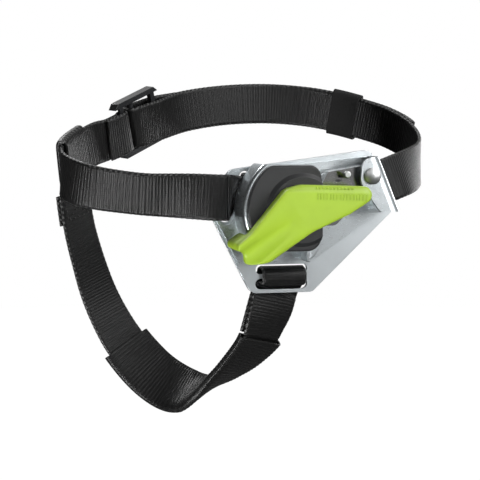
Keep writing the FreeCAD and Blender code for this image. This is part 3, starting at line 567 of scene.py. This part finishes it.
def tube(name, course, nodes, slot, width, thick, wall, pitch, depth, flare=0.0, wave=0.0):
    """A flattened woven tube, open at both ends, ribbed outside."""
    half = width / 2
    angle = np.linspace(0, 2 * math.pi, TUBE_COLUMNS, endpoint=False)
    u = np.sign(np.cos(angle)) * np.abs(np.cos(angle)) ** 0.28
    v = np.sign(np.sin(angle)) * np.abs(np.sin(angle)) ** 0.75
    n = len(course.s)
    ribs = rib_profile(course.s, pitch, TUBE_SHARP)
    fade = np.clip((0.985 - np.abs(u)) / 0.05, 0, 1)
    end_dir = rows_unit(np.gradient(course.centre, axis=0))
    near_end = np.minimum(course.s, course.s[-1] - course.s)
    open_up = flare * np.exp(-(near_end / FLARE_REACH) ** 2)
    edge = wave * np.sin(3.0 * angle)[None, :] * np.exp(-(near_end / WAVE_REACH) ** 2)[:, None]

    def ring(inset, ribbed):
        dip = depth * (1 - ribs)[:, None] * fade[None, :] * ribbed
        across = np.tile(u * (half - inset), (n, 1))
        out = v[None, :] * (thick / 2 - inset + open_up[:, None])
        out = out - np.sign(v)[None, :] * dip
        return (course.centre[:, None, :] + course.across[:, None, :] * across[:, :, None]
                + course.out[:, None, :] * out[:, :, None] + end_dir[:, None, :] * edge[:, :, None])

    outer = ring(0.0, 1.0)
    inner = ring(wall, 0.0)
    verts = np.concatenate([outer.reshape(-1, 3), inner.reshape(-1, 3)])
    faces = ring_faces(n, TUBE_COLUMNS)
    shift = n * TUBE_COLUMNS
    faces += [[a + shift for a in face[::-1]] for face in ring_faces(n, TUBE_COLUMNS)]
    for row in (0, (n - 1) * TUBE_COLUMNS):
        for j in range(TUBE_COLUMNS):
            k = (j + 1) % TUBE_COLUMNS
            faces.append([row + j, row + k, row + k + shift, row + j + shift])
    weave = np.zeros((2, n, TUBE_COLUMNS, 3))
    weave[:, :, :, 0] = course.s[None, :, None] * MM
    weave[:, :, :, 1] = u[None, None, :]
    mesh_object(name, verts, faces, slot, nodes, weave.reshape(-1, 3))


def buckle_points(points):
    """Route points of the frame from points in the buckle's own axes."""
    return [(tuple(in_buckle(*point)), tuple(BUCKLE_ACROSS)) for point in points]


RIGHT_LINE = RIGHT_ROUTE + buckle_points(TURN_ROUTE)
band("webbing_ankle_left", Course(LEFT_ROUTE + buckle_points(FOLD_ROUTE)),
     ["ankle_strap_left"], 0.15)
band("webbing_ankle_plate", Course(SLOT_ROUTE), ["ankle_strap_plate"], 0.13)
band("webbing_ankle_right", Course(RIGHT_LINE), ["ankle_strap_right"], 0.18)
band("webbing_tail", Course(RIGHT_LINE, *TAIL_SPANS).shifted(LAYER), ["strap_tail"], 0.14)
band("webbing_foot", Course(FOOT_ROUTE), ["foot_strap"], 0.15)
band("webbing_foot_wrap", Course(WRAP_ROUTE), ["foot_strap_wrap"], 0.14)
band("webbing_foot_tab", Course(FOOT_ROUTE, *TAB_SPANS).shifted(LAYER), ["foot_strap_tab"], 0.12)
tube("sleeve_ribbed", Course(FOOT_ROUTE, *SLEEVE_SPANS, step=0.32), ["wear_sleeve"],
     "sleeve_webbing", SLEEVE_WIDTH, SLEEVE_THICK, SLEEVE_WALL, pitch=1.6, depth=0.22,
     flare=0.15, wave=0.25)
tube("keeper_elastic", Course(RIGHT_ROUTE, *KEEPER_SPANS, step=0.3).shifted(LAYER / 2),
     ["strap_keeper"], "elastic", KEEPER_WIDTH, KEEPER_THICK, KEEPER_WALL, pitch=0.9, depth=0.05)
tube("webbing_foot_loop", Course(LEFT_ROUTE, *LOOP_SPANS, step=0.3), ["foot_strap_loop"],
     "webbing", LOOP_WIDTH, LOOP_THICK, LOOP_WALL, pitch=RIB_PITCH, depth=0.12)


# ---------------------------------------------------------------- stitching
STITCH_R = 0.26
STITCH_AROUND = 6
STITCH_PITCH = 2.5
STITCH_SHARES = (0.08, 0.80)            # where a stitch starts and ends in its pitch
STITCH_SUNK = 0.10
# one stitch from end to end: share of its length, share of its radius, rise above the webbing
STITCH_SHAPE = ((0.0, 0.35, -0.22), (0.25, 1.0, 0.04), (0.5, 1.1, 0.10), (0.75, 1.0, 0.04),
                (1.0, 0.35, -0.22))


def stitch_mesh(ends):
    """Short thread lumps: each dips into the webbing at both ends and rises between them."""
    verts = []
    faces = []
    around = STITCH_AROUND
    rings = len(STITCH_SHAPE)
    for start, stop, up in ends:
        run = unit(stop - start)
        side = np.cross(run, up)
        base = len(verts)
        for share, size, rise in STITCH_SHAPE:
            middle = start + (stop - start) * share + up * rise
            for k in range(around):
                angle = 2 * math.pi * k / around
                verts.append(middle + (side * math.cos(angle) + up * math.sin(angle) * 0.7)
                             * STITCH_R * size)
        faces += [[base + i for i in face] for face in ring_faces(rings, around)]
        faces.append(tuple(base + k for k in range(around)))
        faces.append(tuple(base + (rings - 1) * around + k for k in range(around)))
    return verts, faces


def read_course(course, s):
    """A course's centre, across and out at one length."""
    return (np.array([np.interp(s, course.s, rows[:, i]) for i in range(3)])
            for rows in (course.centre, course.across, course.out))


def stitches(name, course, runs, face):
    """Thread along straight runs of (length, across) pairs on one face (1 or -1) of a band."""
    up_by = face * (WEB_THICK / 2 - STITCH_SUNK)
    ends = []
    for (s0, t0), (s1, t1) in runs:
        length = math.hypot(s1 - s0, t1 - t0)
        count = max(1, int(length / STITCH_PITCH))
        for k in range(count):
            pair = []
            for part in STITCH_SHARES:
                share = (k + part) / count
                s = s0 + (s1 - s0) * share
                t = t0 + (t1 - t0) * share
                centre, across, out = read_course(course, s)
                pair.append((centre + across * t + out * up_by, out * face))
            ends.append((pair[0][0], pair[1][0], unit(pair[0][1])))
    verts, faces = stitch_mesh(ends)
    mesh_object(name, verts, faces, "webbing", [])


def box_stitch(start, stop, half):
    """A sewn box with its two diagonals."""
    corners = [(start, -half), (stop, -half), (stop, half), (start, half)]
    runs = [(corners[i], corners[(i + 1) % 4]) for i in range(4)]
    return runs + [(corners[0], corners[2]), (corners[1], corners[3])]


def cross_rows(start, stop, count, half):
    """Rows of thread straight across the band."""
    rows = np.linspace(start, stop, count)
    return [((float(s), -half), (float(s), half)) for s in rows]


TAB_BOX = box_stitch(2.0, 11.0, 7.2)
stitches("stitches_foot", Course(FOOT_ROUTE), cross_rows(2.5, 15.5, 5, 7.6), -1)
stitches("stitches_foot_back", Course(WRAP_ROUTE), cross_rows(31.0, 44.0, 5, 7.6), 1)
stitches("stitches_tab", Course(FOOT_ROUTE, *TAB_SPANS).shifted(LAYER), TAB_BOX, 1)
stitches("stitches_tab_inside", Course(FOOT_ROUTE, *TAB_SPANS), TAB_BOX, -1)
fold_course = Course(buckle_points(FOLD_ROUTE))
fold_length = float(fold_course.s[-1])
stitches("stitches_buckle_fold", fold_course, box_stitch(1.5, 9.5, 7.4), 1)
stitches("stitches_buckle_inside", fold_course,
         box_stitch(fold_length - 9.0, fold_length - 1.2, 7.4), 1)


# ---------------------------------------------------------------- lever
LEVER_FRONT = -33.15
LEVER_BACK = -25.15
LEVER_VOXEL = 0.45
MELT_ROUNDS = 44            # rounds of smoothing
MELT_FROM = 7.6             # nearer the pivot only the front skin is smoothed
BOSS_R = 4.8                # nearer the pivot the front face stays where it is
ARM_TOP = 10.9              # height of the arm's top edge near the pivot, and its fall
ARM_FALL = 0.030
PADDLE_X = -4.0             # where the paddle starts
PADDLE_Z = -1.0
PADDLE_COS = 0.775          # its direction, down to the left
PADDLE_SIN = 0.632
PADDLE_LENGTH = 30.0
PADDLE_SIDE = 0.6           # the hollow's middle, off the paddle's centre line
HOLLOW_DEPTH = 2.5
HOLLOW_WIDTH = 4.2
SHOULDER_DEPTH = 1.8
BEVEL_DEPTH = 1.4
BEVEL_HEIGHT = 2.6
TIP_DEPTH = 0.5
# rows of marks on the arm: count, pitch, place behind the front, height, size of one, its turn
MARK_ROWS = ((16, 1.42, -0.02, 6.2, (0.5, 0.5, 2.7), 0.0),
             (11, 1.55, 0.55, 9.7, (0.8, 0.5, 0.8), 0.25))
MARK_START = 3.6
MARK_FALL = 0.05
MARK_INSET = 0.12


def add_block(bm, centre, size, turn):
    """A small raised mark: a box with its front edges drawn in."""
    x, y, z = (v / 2 for v in size)
    corners = [(-x, y, -z), (x, y, -z), (x, y, z), (-x, y, z)]
    corners += [(a - math.copysign(MARK_INSET, a), -y, c - math.copysign(MARK_INSET, c))
                for a, _, c in corners]
    spin = np.array([[math.cos(turn), 0, math.sin(turn)], [0, 1, 0],
                     [-math.sin(turn), 0, math.cos(turn)]])
    verts = np.array(corners) @ spin.T + np.array(centre)
    made = [bm.verts.new(v * MM) for v in verts]
    for face in ((0, 1, 2, 3), (4, 7, 6, 5), (0, 4, 5, 1), (1, 5, 6, 2), (2, 6, 7, 3),
                 (3, 7, 4, 0)):
        bm.faces.new([made[i] for i in face])


def lever_dip(x, z):
    """How far the front face falls back at a place: bevel along the top, soft paddle."""
    top = ARM_TOP - ARM_FALL * (x + 3.0)
    bevel = np.clip((z - (top - BEVEL_HEIGHT)) / BEVEL_HEIGHT, 0, 1)
    bevel = bevel * np.clip((x + 12.0) / 6.0, 0, 1)
    along = -PADDLE_COS * (x - PADDLE_X) - PADDLE_SIN * (z - PADDLE_Z)
    side = -PADDLE_SIN * (x - PADDLE_X) + PADDLE_COS * (z - PADDLE_Z) - PADDLE_SIDE
    reach = np.clip(along / PADDLE_LENGTH, 0, 1.2)
    hollow = HOLLOW_DEPTH * reach * np.exp(-(side / HOLLOW_WIDTH) ** 2)
    outer = np.clip((np.abs(side) - 5.0) / 4.5, 0, 1) ** 2
    shoulders = SHOULDER_DEPTH * outer * np.clip(reach * 1.6, 0, 1)
    tip = TIP_DEPTH * np.clip((x - 24.0) / 4.0, 0, 1)
    return BEVEL_DEPTH * bevel + hollow + shoulders + tip


def mesh_points(mesh):
    flat = np.empty(len(mesh.vertices) * 3)
    mesh.vertices.foreach_get("co", flat)
    return flat.reshape(-1, 3) / MM


def make_lever():
    """The CAD lever re-skinned and melted into soft moulded ridges, with small marks."""
    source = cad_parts["gate_lever"]
    obj = bpy.data.objects.new("lever_moulded", source.data.copy())
    bpy.context.collection.objects.link(obj)
    remesh = obj.modifiers.new("skin", "REMESH")
    remesh.mode = "VOXEL"
    remesh.voxel_size = LEVER_VOXEL * MM
    apply_modifiers(obj)
    points = mesh_points(obj.data)
    from_axis = np.hypot(points[:, 0], points[:, 2])
    free = np.clip((from_axis - MELT_FROM) / 1.5, 0, 1)
    free = np.maximum(free, np.clip((LEVER_FRONT + 1.2 - points[:, 1]) / 0.6, 0, 1))
    group = obj.vertex_groups.new(name="free")
    for index, weight in enumerate(free):
        group.add([index], float(weight), "REPLACE")
    soften = obj.modifiers.new("melt", "SMOOTH")
    soften.factor = 0.5
    soften.iterations = MELT_ROUNDS
    soften.vertex_group = "free"
    apply_modifiers(obj)
    mesh = obj.data
    points = mesh_points(mesh)
    from_axis = np.hypot(points[:, 0], points[:, 2])
    share = np.clip((LEVER_BACK - points[:, 1]) / (LEVER_BACK - LEVER_FRONT), 0, 1)
    share *= from_axis > BOSS_R
    near = np.clip((from_axis - BOSS_R) / 2.0, 0, 1)
    front = np.clip((LEVER_FRONT + 1.9 - points[:, 1]) / 1.0, 0, 1)
    share *= np.maximum(near, front)
    points[:, 1] += lever_dip(points[:, 0], points[:, 2]) * share
    mesh.vertices.foreach_set("co", (points * MM).ravel())
    bm = bmesh.new()
    bm.from_mesh(mesh)
    for count, pitch, back, height, size, turn in MARK_ROWS:
        for k in range(count):
            place = (MARK_START + k * pitch, LEVER_FRONT + back, height - MARK_FALL * k)
            add_block(bm, place, size, turn)
    bm.to_mesh(mesh)
    bm.free()
    mesh.shade_smooth()
    mesh.set_sharp_from_angle(angle=MOULDED_CREASE)
    finish_piece(obj, "lever_plastic", LEVER, ["gate_lever"])


# ---------------------------------------------------------------- metal and plastic parts
softened("plate_pressed", "back_plate", "steel_plate", BODY, 0.6, 3)
softened("body_folded", "channel_body", "steel_body", BODY, 0.6, 3)
softened("liner_bent", "channel_liner", "steel_body", BODY, 0.45, 3)
softened("drum_pressed", "channel_drum", "steel_body", BODY, 0.4, 3)
softened("cover_moulded", "drum_cover", "cover_plastic", BODY, 0.5, 3)
softened("axle_lever", "lever_axle", "rivet_steel", BODY, 0.2)
softened("sleeve_axle", "axle_sleeve", "rivet_steel", BODY, 0.15)
softened("washer_lever", "lever_washer", "washer_plastic", BODY, 0.12)
softened("spring_lever", "lever_spring", "spring_steel", LEVER, 0.02)
make_lever()
softened("cam_toothed", "cam", "cam_steel", CAM, 0.25)
softened("cam_stop_pin", "cam_pin", "rivet_steel", CAM, 0.1)
softened("cam_rivet", "cam_axle", "rivet_steel", BODY, 0.25)
softened("cam_washer", "cam_spacer", "rivet_steel", BODY, 0.15)
softened("cam_return_spring", "cam_spring", "spring_steel", CAM, 0.02)
softened("buckle_stamped", "buckle_frame", "buckle_metal", BODY, 0.6, 3)
softened("buckle_roller", "buckle_bar", "buckle_metal", BAR, 0.2)


# ---------------------------------------------------------------- floor, light and camera
FLOOR_Z = -0.45
FLOOR_RADIUS = 3.0
FLOOR_SIDES = 48


def make_floor():
    """A round floor: white to the camera, dim to everything else."""
    mesh = bpy.data.meshes.new("floor")
    bm = bmesh.new()
    bmesh.ops.create_circle(bm, cap_ends=True, segments=FLOOR_SIDES, radius=FLOOR_RADIUS)
    bm.to_mesh(mesh)
    bm.free()
    floor = bpy.data.objects.new("floor", mesh)
    floor.location = (0, 0, FLOOR_Z)
    bpy.context.collection.objects.link(floor)
    mat, nodes, links, shader = new_material("pale_floor")
    coords = object_coords(nodes)
    patches = add_noise(nodes, links, coords, 3.0)
    links.new(add_ramp(nodes, links, patches, [(0.3, grey(0.045)), (0.7, grey(0.055))]),
              shader.inputs["Base Color"])
    shader.inputs["Roughness"].default_value = 0.9
    shader.inputs["Specular IOR Level"].default_value = 0.1
    seen = nodes.new("ShaderNodeLightPath").outputs["Is Camera Ray"]
    links.new(seen, shader.inputs["Emission Strength"])
    shader.inputs["Emission Color"].default_value = (1.0, 1.0, 1.0, 1.0)
    mesh.materials.append(mat)


make_floor()


def area_light(name, place, target, power, size, size_y):
    """A rectangular soft light aimed at a target; metres and watts."""
    data = bpy.data.lights.new(name, "AREA")
    data.shape = "RECTANGLE"
    data.size = size
    data.size_y = size_y
    data.energy = power
    obj = bpy.data.objects.new(name, data)
    obj.location = place
    aim = Vector(target) - Vector(place)
    obj.rotation_euler = aim.to_track_quat("-Z", "Y").to_euler()
    bpy.context.collection.objects.link(obj)


area_light("key_right", (0.64, -0.78, 0.31), (0, 0, 0), 7.6, 0.6, 0.55)
area_light("fill_front", (-0.30, -0.95, 0.35), (0, 0, 0), 0.8, 0.35, 0.35)
area_light("strip_low_front", (-0.43, -0.38, -0.36), (-0.07, 0, 0), 5.5, 0.09, 0.24)
area_light("top_back_left", (-0.28, 0.50, 0.62), (-0.02, 0.03, -0.06), 4.2, 0.22, 0.22)
area_light("right_back", (0.70, 0.56, 0.03), (0.06, 0.03, 0.02), 2.0, 0.22, 0.40)
area_light("top_right", (0.38, -0.26, 0.52), (-0.05, 0.03, -0.07), 2.4, 0.16, 0.16)


def make_world():
    """White to the camera; a dim room, brighter to the front right, for everything else."""
    world = bpy.data.worlds.new("studio")
    bpy.context.scene.world = world
    world.use_nodes = True
    nodes = world.node_tree.nodes
    links = world.node_tree.links
    background = nodes["Background"]
    split = nodes.new("ShaderNodeSeparateXYZ")
    links.new(nodes.new("ShaderNodeTexCoord").outputs["Generated"], split.inputs[0])
    side = add_math(nodes, links, "ADD", split.outputs["X"],
                    add_math(nodes, links, "MULTIPLY", split.outputs["Z"], 0.5))
    room = add_ramp(nodes, links, add_math(nodes, links, "MULTIPLY_ADD", side, 0.5, 0.5),
                    [(0.38, grey(0.02)), (0.50, grey(0.12)), (0.62, grey(0.50)),
                     (0.80, grey(0.36))])
    seen = nodes.new("ShaderNodeLightPath").outputs["Is Camera Ray"]
    links.new(add_mix(nodes, links, seen, room, grey(1.0)), background.inputs["Color"])
    background.inputs["Strength"].default_value = 1.0


make_world()

CAMERA_TARGET = Vector((-21.7, 0.0, -14.2)) * MM
CAMERA_AZIMUTH = math.radians(-13.0)
CAMERA_ELEVATION = math.radians(5.0)
CAMERA_DISTANCE = 0.600
FOCAL = 103.5
SENSOR = 36.0
camera_data = bpy.data.cameras.new("camera")
camera_data.sensor_width = SENSOR
camera_data.lens = FOCAL
camera_data.clip_start = 0.01
camera = bpy.data.objects.new("camera", camera_data)
direction = Vector((math.sin(CAMERA_AZIMUTH) * math.cos(CAMERA_ELEVATION),
                    -math.cos(CAMERA_AZIMUTH) * math.cos(CAMERA_ELEVATION),
                    math.sin(CAMERA_ELEVATION)))
camera.location = CAMERA_TARGET + direction * CAMERA_DISTANCE
camera.rotation_euler = (-direction).to_track_quat("-Z", "Y").to_euler()
bpy.context.collection.objects.link(camera)
bpy.context.scene.camera = camera
bpy.context.scene.view_settings.view_transform = "Standard"
